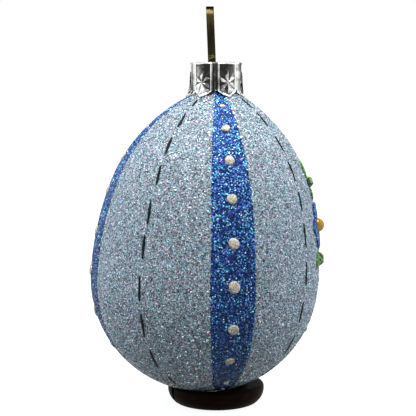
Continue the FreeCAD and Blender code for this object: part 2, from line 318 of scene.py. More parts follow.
paleTones = [
    (0.00, (0.07, 0.08, 0.095)),
    (0.14, (0.20, 0.22, 0.245)),
    (0.32, (0.335, 0.375, 0.42)),
    (0.55, (0.44, 0.51, 0.575)),
    (0.70, (0.64, 0.73, 0.79)),
    (0.79, (0.22, 0.76, 0.86)),
    (0.84, (0.88, 0.62, 0.80)),
    (0.89, (0.56, 0.84, 0.74)),
    (0.93, (0.58, 0.60, 0.94)),
    (0.96, (0.95, 0.97, 1.0)),
]
blueTones = [
    (0.00, (0.002, 0.009, 0.045)),
    (0.24, (0.006, 0.028, 0.12)),
    (0.50, (0.021, 0.058, 0.275)),
    (0.72, (0.055, 0.142, 0.54)),
    (0.81, (0.09, 0.45, 0.82)),
    (0.90, (0.18, 0.13, 0.62)),
    (0.93, (0.28, 0.80, 0.94)),
    (0.98, (0.76, 0.90, 1.0)),
]
creamTones = [
    (0.00, (0.34, 0.27, 0.20)),
    (0.16, (0.57, 0.48, 0.37)),
    (0.44, (0.78, 0.68, 0.55)),
    (0.72, (0.91, 0.83, 0.71)),
    (0.86, (1.00, 0.96, 0.84)),
    (0.94, (0.71, 0.79, 0.76)),
]
leafTones = [
    (0.00, (0.02, 0.07, 0.01)),
    (0.30, (0.07, 0.19, 0.02)),
    (0.62, (0.20, 0.40, 0.06)),
    (0.88, (0.42, 0.72, 0.38)),
]


def dimmed(tones, share):
    return [(position, tuple(c * share for c in colour)) for position, colour in tones]


finishes = {
    "paleFlakes": flakeFinish("paleFlakes", paleTones, 0.10, 0.30),
    # the blue flakes and the blue ground get painted light: darker at the foot, brighter towards the neck
    "blueFlakes": flakeFinish("blueFlakes", blueTones, 0.16, 0.30, 0.25, 0.56, 1.7),
    "creamFlakes": flakeFinish("creamFlakes", creamTones, 0.10, 0.35),
    "leafFlakes": flakeFinish("leafFlakes", leafTones, 0.10, 0.32),
    # the ground tones are dimmed: painted shade in the gaps under the loose flakes
    "paleGround": groundFinish("paleGround", dimmed(paleTones, 0.62), 0.34),
    "blueGround": groundFinish("blueGround", dimmed(blueTones, 0.6), 0.34, 0.62, 1.5),
    "creamGround": groundFinish("creamGround", dimmed(creamTones, 0.75), 0.3),
    "leafGround": groundFinish("leafGround", dimmed(leafTones, 0.9), 0.3),
}


def paintFinish():
    material, tree = newFinish("blackPaint", **{"Specular IOR Level": 0.08})
    hairs = clouds(tree, objectPlace(tree), 2600.0, 4.0)
    tone = ramp(tree, hairs, [(0.3, (0.002, 0.003, 0.004)), (0.75, (0.014, 0.016, 0.02))])
    return plugged(material, tone, Roughness=overClouds(tree, hairs, 0.25, 0.55),
                   Normal=bump(tree, hairs, 0.5, 0.04))


def silverFinish():
    # stamped foil: its tone comes from the stored painted shade, light and dark, and from clouds of painted
    # reflection
    material, tree = newFinish("capSilver", Metallic=1.0, **{"Specular Tint": (0.35, 0.35, 0.35, 1)})
    place = objectPlace(tree)
    smoke = clouds(tree, place, 330.0, 3.0, Distortion=0.8)
    shade = combined(tree, storedValue(tree, "hollow"), overClouds(tree, smoke, -0.28, 0.28))
    tone = ramp(tree, shade, [
        (0.08, (0.93, 0.93, 0.92)), (0.30, (0.52, 0.52, 0.50)), (0.55, (0.17, 0.16, 0.15)),
        (0.9, (0.025, 0.024, 0.024))])
    return plugged(material, tone, Roughness=overClouds(tree, smoke, 0.1, 0.28),
                   Normal=bump(tree, clouds(tree, place, 1500.0, 3.0), 0.25, 0.05))


def brassFinish():
    # blackened strip, with a painted gold highlight under the top of its bend and painted shade on the top
    material, tree = newFinish("hangerBrass", Metallic=1.0, **{"Specular Tint": (0.3, 0.3, 0.25, 1)})
    smoke = clouds(tree, stretchedPlace(tree, 0.14), 800.0, 3.0)
    height = objectHeight(tree)
    # painted highlight below the top of the bend, painted shade on the top itself
    paintedGleam = measure(tree, height, 108.6 * mm, 113.0 * mm, 0.0, 0.19)
    black = measure(tree, height, 114.0 * mm, 115.6 * mm, 0.0, -0.3)
    tone = ramp(tree, combined(tree, combined(tree, smoke, paintedGleam), black), [
        (0.35, (0.006, 0.006, 0.003)), (0.56, (0.022, 0.019, 0.009)), (0.70, (0.07, 0.052, 0.022)),
        (0.86, (0.11, 0.07, 0.026))])
    return plugged(material, tone, Roughness=overClouds(tree, smoke, 0.38, 0.2),
                   Normal=bump(tree, smoke, 0.15, 0.05))


def lacquerFinish():
    # dark red wood under an old lacquer with little shine left
    material, tree = newFinish("ringLacquer", **{"Specular IOR Level": 0.015})
    grain = clouds(tree, stretchedPlace(tree, 4.5), 260.0, 6.0, Roughness=0.65, Distortion=0.6)
    tone = ramp(tree, grain, [
        (0.30, (0.004, 0.002, 0.0012)), (0.55, (0.011, 0.0055, 0.0035)), (0.78, (0.04, 0.016, 0.01))])
    return plugged(material, tone, Roughness=overClouds(tree, grain, 0.4, 0.55),
                   Normal=bump(tree, grain, 0.2, 0.06))


def glassFinish():
    # silvered inside, with the faint streaks of blown glass
    material, tree = newFinish("silveredGlass", Metallic=0.85, **{"Coat Weight": 1.0, "Coat Roughness": 0.03})
    haze = clouds(tree, stretchedPlace(tree, 0.15), 300.0, 4.0)
    tone = ramp(tree, haze, [(0.3, (0.44, 0.46, 0.47)), (0.7, (0.68, 0.70, 0.70))])
    return plugged(material, tone, Roughness=overClouds(tree, haze, 0.08, 0.2))


def stoneFinish(name, deep, bright, glint):
    # foil-backed glass: every facet has its own random depth of colour, and the brightest facets get a
    # painted glint
    material, tree = newFinish(name, Metallic=0.3, Roughness=0.1, **{
        "Specular IOR Level": 0.25, "Coat Weight": 0.3, "Coat Roughness": 0.03})
    cloud = combined(tree, clouds(tree, objectPlace(tree), 900.0, 2.0), 0.4, "MULTIPLY")
    depth = combined(tree, storedValue(tree, "facet"), cloud)
    return plugged(material, ramp(tree, depth, [(0.25, deep), (0.75, bright), (1.0, glint)]))


finishes.update({
    "paint": paintFinish(),
    "silver": silverFinish(),
    "brass": brassFinish(),
    "lacquer": lacquerFinish(),
    "glass": glassFinish(),
    "greenStone": stoneFinish(
        "greenStone", (0.003, 0.011, 0.002), (0.028, 0.075, 0.012), (0.2, 0.36, 0.12)),
    "amberStone": stoneFinish(
        "amberStone", (0.07, 0.032, 0.002), (0.52, 0.29, 0.012), (0.9, 0.7, 0.15)),
})
print("materials made:", len(finishes))


flakeSides = 6


def randomNumber(tree, least, most, seed):
    sockets = {2: least, 3: most, "Seed": seed}
    return addNode(tree, "FunctionNodeRandomValue", sockets, data_type="FLOAT").outputs[1]


def scatterTree():
    # hexagonal flakes laid over a surface, each a little askew, clear of what is painted on it
    tree = bpy.data.node_groups.new("glitterScatter", "GeometryNodeTree")
    tree.interface.new_socket("Surface", in_out="INPUT", socket_type="NodeSocketGeometry")
    inputs = {"Density": "Float", "Flake Size": "Float", "Least Size": "Float", "Tilt": "Float",
              "Clearance": "Float", "Seed": "Int", "Keep Off": "Object", "Finish": "Material"}
    for name, kind in inputs.items():
        tree.interface.new_socket(name, in_out="INPUT", socket_type="NodeSocket" + kind)
    tree.interface.new_socket("Flakes", in_out="OUTPUT", socket_type="NodeSocketGeometry")
    given = tree.nodes.new("NodeGroupInput").outputs
    spread = addNode(tree, "GeometryNodeDistributePointsOnFaces", {
        "Mesh": given["Surface"], "Density": given["Density"], "Seed": given["Seed"]})
    masks = addNode(tree, "GeometryNodeObjectInfo", {"Object": given["Keep Off"]})
    nearest = addNode(tree, "GeometryNodeProximity", {"Geometry": masks.outputs["Geometry"]},
                      target_element="FACES")
    tooNear = addNode(tree, "FunctionNodeCompare", {0: nearest.outputs["Distance"], 1: given["Clearance"]},
                      data_type="FLOAT", operation="LESS_THAN")
    clear = addNode(tree, "GeometryNodeDeleteGeometry", {
        "Geometry": spread.outputs["Points"], "Selection": tooNear.outputs[0]}, domain="POINT")
    # a random lean each way, then a random turn
    fullTurn = 6.2832
    back = combined(tree, given["Tilt"], -1.0, "MULTIPLY")
    least = addNode(tree, "ShaderNodeCombineXYZ", {0: back, 1: back, 2: 0.0})
    most = addNode(tree, "ShaderNodeCombineXYZ", {0: given["Tilt"], 1: given["Tilt"], 2: fullTurn})
    turn = addNode(tree, "FunctionNodeRandomValue", {
        0: least.outputs[0], 1: most.outputs[0], "Seed": given["Seed"]}, data_type="FLOAT_VECTOR")
    turned = addNode(tree, "FunctionNodeEulerToRotation", {0: turn.outputs[0]})
    rotation = addNode(tree, "FunctionNodeRotateRotation", {
        0: spread.outputs["Rotation"], 1: turned.outputs[0]}, rotation_space="LOCAL")
    size = randomNumber(tree, given["Least Size"], 1.0, given["Seed"])
    radius = combined(tree, given["Flake Size"], 0.5, "MULTIPLY")
    flake = addNode(tree, "GeometryNodeMeshCircle", {"Vertices": flakeSides, "Radius": radius},
                    fill_type="NGON")
    laid = addNode(tree, "GeometryNodeInstanceOnPoints", {
        "Points": clear.outputs[0], "Instance": flake.outputs[0], "Rotation": rotation.outputs[0],
        "Scale": size})
    last = laid.outputs[0]
    for name, seed in {"tint": 11, "gleam": 12}.items():
        stored = {"Geometry": last, "Name": name, "Value": randomNumber(tree, 0.0, 1.0, seed)}
        last = addNode(tree, "GeometryNodeStoreNamedAttribute", stored,
                       data_type="FLOAT", domain="INSTANCE").outputs[0]
    real = addNode(tree, "GeometryNodeRealizeInstances", {"Geometry": last})
    coloured = addNode(tree, "GeometryNodeSetMaterial", {
        "Geometry": real.outputs[0], "Material": given["Finish"]})
    addNode(tree, "NodeGroupOutput", {"Flakes": coloured.outputs[0]})
    return tree


glitterScatter = scatterTree()


def scatterOn(surface, name, settings, keepOff, finish, seed):
    base = placed(name, surface.data)
    modifier = base.modifiers.new("glitter", "NODES")
    modifier.node_group = glitterScatter
    values = {
        "Density": settings["perSquareMm"] * 1e6,
        "Flake Size": settings["size"] * mm,
        "Least Size": settings["leastSize"],
        "Tilt": math.radians(settings["tilt"]),
        "Clearance": settings["clearance"] * mm,
        "Seed": seed,
        "Keep Off": keepOff,
        "Finish": finish,
    }
    for socket in glitterScatter.interface.items_tree:
        if socket.in_out == "INPUT" and socket.name in values:
            modifier[socket.identifier] = values[socket.name]
    flakes = baked(base)
    # every flake has a square of its own on the map
    side = math.ceil(math.sqrt(max(len(flakes.data.polygons), 1)))
    reach, spots = 0.42, []
    for corner in range(len(flakes.data.loops)):
        square, k = divmod(corner, flakeSides)
        row, column = divmod(square, side)
        turn = math.radians(360 / flakeSides * k)
        spots += [(column + 0.5 + reach * math.cos(turn)) / side, (row + 0.5 + reach * math.sin(turn)) / side]
    flakes.data.uv_layers.new(name="OFBake").uv.foreach_set("vector", spots)
    return flakes


def raisedShape(place, outline, centre, peak, rings, heightAt):
    # a closed shape inside an outline, laid on the egg and sunk a little into the coat
    sink = 0.18
    spokes = len(outline)
    points, faces = [laidOn(place, *centre, peak)], []
    for ring in range(1, rings + 1):
        share = ring / rings
        for u, v in outline:
            spot = Vector((centre[0] + (u - centre[0]) * share, centre[1] + (v - centre[1]) * share))
            points.append(laidOn(place, *spot, heightAt(spot, share)))
    for u, v in (*outline, centre):
        points.append(laidOn(place, u, v, -sink))
    for k in range(spokes):
        n = (k + 1) % spokes
        faces.append((0, 1 + k, 1 + n))
        for ring in range(rings):
            a, b = 1 + ring * spokes, 1 + (ring + 1) * spokes
            faces.append((a + k, b + k, b + n, a + n))
        faces.append((1 + rings * spokes + k, len(points) - 1, 1 + rings * spokes + n))
    return points, faces


def loftFaces(wide, rows):
    # the faces between closed rows of points, and both ends
    made = []
    for k in range(rows - 1):
        for j in range(wide):
            n = (j + 1) % wide
            made.append((k * wide + j, k * wide + n, (k + 1) * wide + n, (k + 1) * wide + j))
    last = (rows - 1) * wide
    return made + [tuple(range(wide))[::-1], tuple(range(last, last + wide))]


def gather(shapes):
    # several closed shapes as one list of points and faces
    points, faces = [], []
    for morePoints, moreFaces in shapes:
        start = len(points)
        points += morePoints
        faces += [tuple(v + start for v in face) for face in moreFaces]
    return points, faces


dots = {
    "heights": (87.7, 81.7, 73.2, 63.1, 51.3, 39.6, 27.7, 18.0, 9.8, 6.5),
    "widths": (1.5, 2.4, 2.8, 2.8, 3.1, 3.3, 3.0, 2.5, 1.7, 1.2),
    "rise": {"front": 0.15, "left": 0.11, "back": 0.13},  # of the width
    "uneven": 0.045,
    "lumps": 0.09,
    "heightError": 0.5,  # of the rows that the front doesn't show
    "widthError": (0.92, 1.06),
    "azimuthError": 0.4,
    "rings": 7,
    "spokes": 26,
}


def roundOutline(radius, rng):
    phase = rng.uniform(0, 6.28)
    uneven = dots["uneven"]
    made = []
    for k in range(dots["spokes"]):
        turn = 2 * math.pi * k / dots["spokes"]
        wave = uneven * math.sin(2 * turn + phase)
        reach = radius * (1 + wave + uneven * 0.6 * math.sin(3 * turn + 2 * phase))
        made.append((reach * math.cos(turn), reach * math.sin(turn)))
    return made


def dotShape(place, width, rise, rng):
    # a lumpy dome of glitter glue
    def heightAt(spot, share):
        lump = noise.noise(laidOn(place, *spot, 0) * 1.9) * dots["lumps"] * (1 - share ** 4)
        return rise * max(1 - share ** 2.4, 0) ** 0.5 + lump

    return raisedShape(place, roundOutline(width / 2, rng), (0, 0), rise, dots["rings"], heightAt)


def dotRow(band, rng):
    shapes = []
    for height, width in zip(dots["heights"], dots["widths"]):
        if band != "front":
            height += rng.uniform(-dots["heightError"], dots["heightError"])
            width *= rng.uniform(*dots["widthError"])
        aside = rng.uniform(-dots["azimuthError"], dots["azimuthError"])
        place = placeOn(sum(egg["bands"][band]) / 2 + aside, height)
        shapes.append(dotShape(place, width, width * dots["rise"][band], rng))
    return gather(shapes)


# one row per dash, from the neck down: height, azimuth and length
strokes = {
    "left": ((88.5, -33.4, 3.4), (83.8, -34.4, 5.6), (77.1, -34.3, 5.6), (69.1, -34.3, 5.7),
             (59.2, -35.1, 6.6), (49.9, -35.7, 6.7), (38.5, -36.7, 7.0), (28.0, -36.8, 7.2),
             (17.6, -36.9, 7.2), (10.0, -36.0, 5.4)),
    "right": ((88.4, 57.5, 4.4), (83.9, 57.2, 5.2), (77.1, 56.9, 5.0), (69.5, 56.4, 5.7), (61.2, 56.5, 5.4),
              (51.5, 56.6, 6.8), (40.8, 56.5, 6.9), (29.8, 54.8, 6.2), (20.1, 55.0, 6.4), (11.2, 55.4, 5.2)),
}
stitches = {
    "backTurns": {"back_right": 182.5, "back_left": -93.9},  # from the front left line
    "width": 0.88,
    "rise": 0.08,
    "steps": 18,
    "sink": 0.2,
    "fullest": (0.3, 0.42, 0.6, 0.7),  # where along the dash it is widest
    "bend": 0.18,
    "slant": 0.12,
    "widthError": (0.85, 1.12),
    "heightError": (-0.9, 0.1),  # of the back rows
    "azimuthError": (-0.7, 0.7),
    "lengthError": (0.85, 1.05),
    "section": ((-1.0, None), (-0.92, 0.0), (-0.5, 0.8), (0.0, 1.0), (0.5, 0.8), (0.92, 0.0), (1.0, None)),
}


def brushDash(place, length, rng):
    # one stroke: fuller where the brush lands, thin where it leaves
    lands = rng.choice(stitches["fullest"])
    bend = rng.uniform(-stitches["bend"], stitches["bend"])
    slant = rng.uniform(-stitches["slant"], stitches["slant"])
    width = stitches["width"] * rng.uniform(*stitches["widthError"])
    points = []
    for k in range(stitches["steps"] + 1):
        share = k / stitches["steps"]
        swell = min(share / lands, (1 - share) / (1 - lands))
        ripple = 1 + 0.12 * math.sin(9 * share + lands * 20)
        half = width / 2 * (0.12 + 0.88 * max(swell, 0) ** 0.45) * ripple
        middle = bend * math.sin(math.pi * share) + slant * (share - 0.5)
        for across, rise in stitches["section"]:
            lift = -stitches["sink"] if rise is None else stitches["rise"] * rise
            points.append(laidOn(place, middle + across * half, (share - 0.5) * length, lift))
    return points, loftFaces(len(stitches["section"]), stitches["steps"] + 1)


def stitchRow(line, rng):
    shapes = []
    turn = stitches["backTurns"].get(line)
    for height, azimuth, length in strokes["left" if turn else line]:
        if turn:
            height += rng.uniform(*stitches["heightError"])
            azimuth += turn + rng.uniform(*stitches["azimuthError"])
            length *= rng.uniform(*stitches["lengthError"])
        shapes.append(brushDash(placeOn(azimuth, height), length, rng))
    return gather(shapes)


relief = {
    "panel": 106.0,
    "flowers": {"right": (83.5, 52.9), "rear": (128.5, 52.9), "lower": (106.0, 35.0)},
    "petals": 6,
    "rings": 9,
    "ovalSteps": 16,
    "veinWidth": 0.22,
    "petalReach": 7.5,
    "petalWidth": 5.0,
    "petalRise": 0.45,
    "petalStart": 2.46,
    "leaves": {"upper": (-26.5, 69.6, 12.0, 6.0), "shoulder": (-26.0, 62.3, -12.0, 3.8),
               "middle": (-31.4, 43.2, 20.0, 5.4), "side": (-12.5, 24.6, 40.0, 5.6)},
    "leafWidth": 2.4,
    "leafRise": 0.4,
    "stones": {"upper": (-25.5, 65.6, 3.5), "middle": (-25.5, 43.2, 4.2), "side": (-6.5, 20.8, 3.2)},
    "greenRise": 1.5,
    "greenFacets": 9,
    "amberWidth": 4.2,
    "amberRise": 2.05,
}


def pointedOval(length, width, fullness, turn, shift):
    steps = relief["ovalSteps"]
    sine, cosine = math.sin(math.radians(turn)), math.cos(math.radians(turn))
    made = []
    for k in range(2 * steps):
        share = k / steps if k < steps else 2 - k / steps
        sign = -1 if k < steps else 1
        half = sign * width / 2 * math.sin(math.pi * share) ** fullness if 0 < k % steps else 0.0
        along = shift + length * share
        made.append((along * sine + half * cosine, along * cosine - half * sine))
    return made


def reliefShape(azimuth, height, outline, centre, rise, angle):
    # an oval with a raised rim and a vein down the middle
    along = Vector((math.sin(angle), math.cos(angle)))

    def heightAt(spot, share):
        off = spot - Vector(centre)
        fromVein = abs(off.x * along.y - off.y * along.x)
        edge = max(1 - share ** 6, 0) ** 0.5
        vein = math.exp(-(fromVein / relief["veinWidth"]) ** 2)
        return rise * edge * (0.72 + 0.28 * share ** 2 - 0.28 * vein)

    return raisedShape(placeOn(azimuth, height), outline, centre, rise * 0.6, relief["rings"], heightAt)


def petalShape(azimuth, height, turn):
    start = relief["petalStart"]
    length = relief["petalReach"] - start
    outline = pointedOval(length, relief["petalWidth"], 0.62, turn, start)
    angle, middle = math.radians(turn), start + length * 0.52
    centre = (middle * math.sin(angle), middle * math.cos(angle))
    return reliefShape(azimuth, height, outline, centre, relief["petalRise"], angle)


def leafShape(azimuth, height, tilt, length):
    outline = pointedOval(length, relief["leafWidth"], 0.8, tilt, -length / 2)
    return reliefShape(azimuth, height, outline, (0, 0), relief["leafRise"], math.radians(tilt))


stoneCuts = {  # shares of the radius and of the height, from the foot up
    "faceted": ((1.0, -0.14), (1.0, 0.12), (0.82, 0.55), (0.5, 0.93)),
    "smooth": ((1.0, -0.14), (1.0, 0.06), (0.97, 0.25), (0.88, 0.48), (0.72, 0.7), (0.5, 0.87), (0.26, 0.97)),
    "smoothSpokes": 28,
}


def stoneObject(name, azimuth, height, width, rise, facets, finish, rng):
    # a glued stone: a table and two rows of facets, or a smooth dome
    point, side, up = placeOn(azimuth, height)
    normal = surfaceAt(point, 0)[1]
    radius = width / 2
    rows = stoneCuts["faceted" if facets else "smooth"]
    spokes = facets or stoneCuts["smoothSpokes"]
    points = []
    for k, (wide, high) in enumerate(rows):
        for j in range(spokes):
            turn = 2 * math.pi * (j + (0.5 * (k % 2) if facets else 0)) / spokes
            points.append(point + side * (radius * wide * math.cos(turn))
                          + up * (radius * wide * math.sin(turn)) + normal * (rise * high))
    points.append(point + normal * rise)
    faces = [tuple(range(spokes))[::-1]]
    for k in range(len(rows) - 1):
        for j in range(spokes):
            n = (j + 1) % spokes
            a, b = k * spokes, (k + 1) * spokes
            if facets and k % 2 == 0:
                faces += [(a + j, a + n, b + j), (b + j, a + n, b + n)]
            elif facets:
                faces += [(a + j, b + n, b + j), (a + j, a + n, b + n)]
            else:
                faces.append((a + j, a + n, b + n, b + j))
    top = (len(rows) - 1) * spokes
    if facets:
        faces.append(tuple(top + j for j in range(spokes)))
        points.pop()
    else:
        faces += [(top + j, top + (j + 1) % spokes, len(points) - 1) for j in range(spokes)]
    made = makeObject(name, points, faces, finish, smooth=not facets)
    outwardFaces(made.data)
    tone = made.data.attributes.new("facet", "FLOAT", "FACE")
    tone.data.foreach_set("value", [rng.random() if facets else 0.35 for _ in made.data.polygons])
    return made


rng = random.Random(41)
decor = {}
for band in egg["bands"]:
    points, faces = dotRow(band, rng)
    decor["dots_" + band] = makeObject("glitterDots_" + band, points, faces, finishes["creamGround"])
    settle(decor["dots_" + band], "egg", "champagne_glitter", "dots_" + band)
for line in (*strokes, *stitches["backTurns"]):
    points, faces = stitchRow(line, rng)
    decor["stitches_" + line] = makeObject("brushStitches_" + line, points, faces, finishes["paint"])
    settle(decor["stitches_" + line], "egg", "black_paint", "stitches_" + line)
for flower, (azimuth, height) in relief["flowers"].items():
    shapes = [petalShape(azimuth, height, 90 + 60 * k) for k in range(relief["petals"])]
    key = "petals_" + flower
    decor[key] = makeObject(key + "_relief", *gather(shapes), finishes["blueGround"])
    settle(decor[key], "egg", "petal_enamel", key)
    stone = stoneObject("amberStone_" + flower, azimuth, height, relief["amberWidth"], relief["amberRise"], 0,
                        finishes["amberStone"], rng)
    decor["amber_" + flower] = settle(stone, "egg", "amber_glass", "amber_stone_" + flower)
for side, sign in (("right", 1), ("rear", -1)):
    for leaf, (offset, height, tilt, length) in relief["leaves"].items():
        shape = leafShape(relief["panel"] + sign * offset, height, sign * tilt, length)
        key = "leaf_" + leaf + "_" + side
        decor[key] = makeObject(key + "_relief", *shape, finishes["leafGround"])
        settle(decor[key], "egg", "leaf_enamel", key)
    for place, (offset, height, width) in relief["stones"].items():
        azimuth, key = relief["panel"] + sign * offset, place + "_" + side
        stone = stoneObject("greenStone_" + key, azimuth, height, width, relief["greenRise"],
                            relief["greenFacets"], finishes["greenStone"], rng)
        key = "green_stone_" + key
        decor[key] = settle(stone, "egg", "green_glass", key)
for thing in decor.values():
    if "Stone" not in thing.name:
        outwardFaces(thing.data)
print("decoration laid on:", len(decor), "pieces")


coats = {
    "bottom": 0.3,  # degrees from straight down, seen from the middle
    "top": 172.9,
    "middle": 40.0,
    "step": 1.6,
    "skin": 0.20,
    "flakeLevel": 0.25,
    "inner": 0.02,
    "wobble": 0.55,
    "collarRows": 3,
    "collarTop": 92.1,  # where the glitter ends on the neck
}
coatFlakes = {"perSquareMm": 6.5, "size": 0.46, "leastSize": 0.6, "tilt": 24, "clearance": 0.26, "seed": 20}
fineFlakes = {"perSquareMm": 11.0, "size": 0.34, "leastSize": 0.6, "tilt": 26, "clearance": 0.0, "seed": 70}


def edgeAt(azimuth, polar):
    # a hand-laid edge wanders a little about its line
    return azimuth + coats["wobble"] * noise.noise(Vector((azimuth * 0.37 % 50, polar * 0.045, 3.0)))


def coatGrid(start, end, offset):
    columns = max(int((end - start) / coats["step"]), 8)
    rows = int((coats["top"] - coats["bottom"]) / coats["step"])
    middle = Vector((0, 0, coats["middle"]))
    points = []
    for row in range(rows + 1):
        polar = coats["bottom"] + (coats["top"] - coats["bottom"]) * row / rows
        low, high = edgeAt((start + 180) % 360, polar) - 180, edgeAt((end + 180) % 360, polar) - 180
        if high < low:
            high += 360
        for column in range(columns + 1):
            azimuth = low + (high - low) * column / columns
            turn = math.radians(polar)
            way = outwards(azimuth) * math.sin(turn) + Vector((0, 0, -math.cos(turn)))
            points.append(alongRay(middle, way, offset))
    # the last rows turn up the neck, under the cap's edge
    last = points[-columns - 1:]
    for row in range(1, coats["collarRows"] + 1):
        share = row / coats["collarRows"]
        for spot in last:
            reach = egg["neckRadius"] + offset + 0.5 * (1 - share) ** 2
            foot = Vector((spot.x, spot.y, 0)).normalized() * reach
            points.append(foot + Vector((0, 0, spot.z + (coats["collarTop"] - spot.z) * share)))
    return points, columns + 1, rows + 1 + coats["collarRows"]


def gridFaces(wide, high, start=0, inwards=False):
    made = []
    for row in range(high - 1):
        for column in range(wide - 1):
            a = start + row * wide + column
            face = (a, a + 1, a + wide + 1, a + wide)
            made.append(face[::-1] if inwards else face)
    return made


def coatShell(name, start, end, finish):
    outer, wide, high = coatGrid(start, end, coats["skin"])
    inner = coatGrid(start, end, coats["inner"])[0]
    size = len(outer)
    faces = gridFaces(wide, high) + gridFaces(wide, high, size, True)
    rim = [*range(wide), *range(2 * wide - 1, size, wide)]
    rim += [*range(size - 2, size - wide - 1, -1), *range(size - 2 * wide, 0, -wide)]
    for a, b in zip(rim, rim[1:] + rim[:1]):
        faces.append((b, a, a + size, b + size))
    made = makeObject(name, outer + inner, faces, finish)
    outwardFaces(made.data)
    return made


# what the loose flakes keep off
maskPoints, maskFaces = [], []
for thing in decor.values():
    first = len(maskPoints)
    maskPoints += [v.co / mm for v in thing.data.vertices]
    maskFaces += [tuple(v + first for v in face.vertices) for face in thing.data.polygons]
keepOff = makeObject("keepOff", maskPoints, maskFaces, finishes["paint"])

flakeCount = 0
for colour, node, spans in (("blue", "blue_band_", egg["bands"]), ("pale", "pale_field_", egg["fields"])):
    for seed, (part, (start, end)) in enumerate(spans.items()):
        shell = coatShell(colour + "Coat_" + part, start, end, finishes[colour + "Ground"])
        settle(shell, "egg", colour + "_glitter", node + part)
        points, wide, high = coatGrid(start, end, coats["flakeLevel"])
        surface = makeObject("surface", points, gridFaces(wide, high), finishes["paint"])
        finish, name = finishes[colour + "Flakes"], colour + "Flakes_" + part
        flakes = scatterOn(surface, name, coatFlakes, keepOff, finish, coatFlakes["seed"] + seed)
        bpy.data.objects.remove(surface)
        settle(flakes, "egg", colour + "_glitter")
        flakeCount += len(flakes.data.polygons)
        print("coat", part, len(flakes.data.polygons), "flakes")
bpy.data.objects.remove(keepOff)

for key, thing in decor.items():
    tone = {"dots": "cream", "petals": "blue", "leaf": "leaf"}.get(key.split("_")[0])
    if tone is None:
        continue
    finish, seed = finishes[tone + "Flakes"], fineFlakes["seed"] + len(key)
    flakes = scatterOn(thing, thing.name + "_flakes", fineFlakes, None, finish, seed)
    settle(flakes, "egg", thing["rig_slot"])
    flakeCount += len(flakes.data.polygons)
print("glitter laid:", flakeCount, "flakes")


settle(mergedCopy("glass_egg", "glassEgg", finishes["glass"]), "egg", "blown_glass", "glass_egg")
strip = mergedCopy("hanger", "stripHanger", finishes["brass"], 40)
worn = strip.modifiers.new("worn", "BEVEL")
worn.width = 0.07 * mm
worn.segments = 2
worn.limit_method = "ANGLE"
worn.angle_limit = math.radians(60)
settle(baked(strip), "hanger", "hanger_wire", "hanger")

ring = {
    "radius": 14.3,
    "footRadius": 12.3,
    "bore": 8.6,
    "height": 5.2,
    "edge": 0.9,
    "bulge": 13.65,
    "bulgeHeight": 1.45,
    "seatGap": 0.38,  # from the glass; the coat's skin fills more than half of it
    "searchFrom": 5.0,
    "slitWidth": 1.2,
    "slitAzimuth": -62.0,
    "columns": 240,
    "fillet": 0.22,
    "seatFillet": 0.12,
    "boreFillet": 0.06,
    "cutColumns": 12,  # columns that swing onto the saw cut's flat faces
}


def filleted(profile, steps=4):
    # corners of a closed profile rounded by their own radius
    made = []
    for k, (corner, radius) in enumerate(profile):
        before, after = profile[k - 1][0], profile[(k + 1) % len(profile)][0]
        back, onward = before - corner, after - corner
        if radius <= 0 or min(back.length, onward.length) < 1e-3:
            # a corner with no room keeps its number of points, so that every profile has as many
            made += [corner] * (steps + 1 if radius > 0 else 1)
            continue
        half = back.angle(onward) / 2
        reach = min(radius / math.tan(half), back.length * 0.45, onward.length * 0.45)
        first, last = corner + back.normalized() * reach, corner + onward.normalized() * reach
        for step in range(steps + 1):
            share = step / steps
            made.append(first.lerp(corner, share).lerp(corner.lerp(last, share), share))
    return made


def eggHeight(azimuth, reach):
    # height of the ring's seat at a distance from the axis
    return standingOn(outwards(azimuth), reach, ring["searchFrom"], ring["seatGap"], 8)


def seatReach(azimuth):
    low, high = ring["bore"], ring["radius"]
    for _ in range(24):
        middle = (low + high) / 2
        low, high = (middle, high) if eggHeight(azimuth, middle) < ring["height"] else (low, middle)
    return low


def throughThree(first, middle, last, steps):
    # points of the circle arc through three points
    ax, ay, bx, by, cx, cy = *first, *middle, *last
    a, b, c = ax * ax + ay * ay, bx * bx + by * by, cx * cx + cy * cy
    d = 2 * (ax * (by - cy) + bx * (cy - ay) + cx * (ay - by))
    centre = Vector(((a * (by - cy) + b * (cy - ay) + c * (ay - by)) / d,
                     (a * (cx - bx) + b * (ax - cx) + c * (bx - ax)) / d))
    start, end = first - centre, last - centre
    turn = math.atan2(end.y, end.x) - math.atan2(start.y, start.x)
    turn = (turn + math.pi) % (2 * math.pi) - math.pi
    radius, base = start.length, math.atan2(start.y, start.x)
    return [centre + Vector((math.cos(base + turn * k / steps), math.sin(base + turn * k / steps))) * radius
            for k in range(steps + 1)]


def ringProfile(azimuth):
    top, rim, edge, bore = ring["height"], ring["radius"], ring["edge"], ring["bore"]
    bulge = throughThree(Vector((ring["footRadius"], 0)), Vector((ring["bulge"], ring["bulgeHeight"])),
                         Vector((rim, top - edge)), 12)
    crown = [Vector((rim - edge * (1 - math.cos(a)), top - edge * (1 - math.sin(a))))
             for a in [math.pi / 2 * k / 6 for k in range(1, 7)]]
    outer = min(seatReach(azimuth), rim - edge - 0.1)
    outside = bulge + crown
    for spot in outside:  # the egg leans over the ring on one side
        spot.y = min(spot.y, eggHeight(azimuth, spot.x))
    seat = [Vector((bore + (outer - bore) * k / 5, 0)) for k in range(5, -1, -1)]
    for spot in seat:
        spot.y = min(eggHeight(azimuth, spot.x), top)
    corners = [*outside, *seat, Vector((bore, 0))]
    last = len(corners) - 1
    rounded = {0: ring["fillet"], len(outside): ring["seatFillet"], last - 1: ring["boreFillet"],
               last: ring["fillet"]}
    return filleted([(corner, rounded.get(k, 0)) for k, corner in enumerate(corners)])


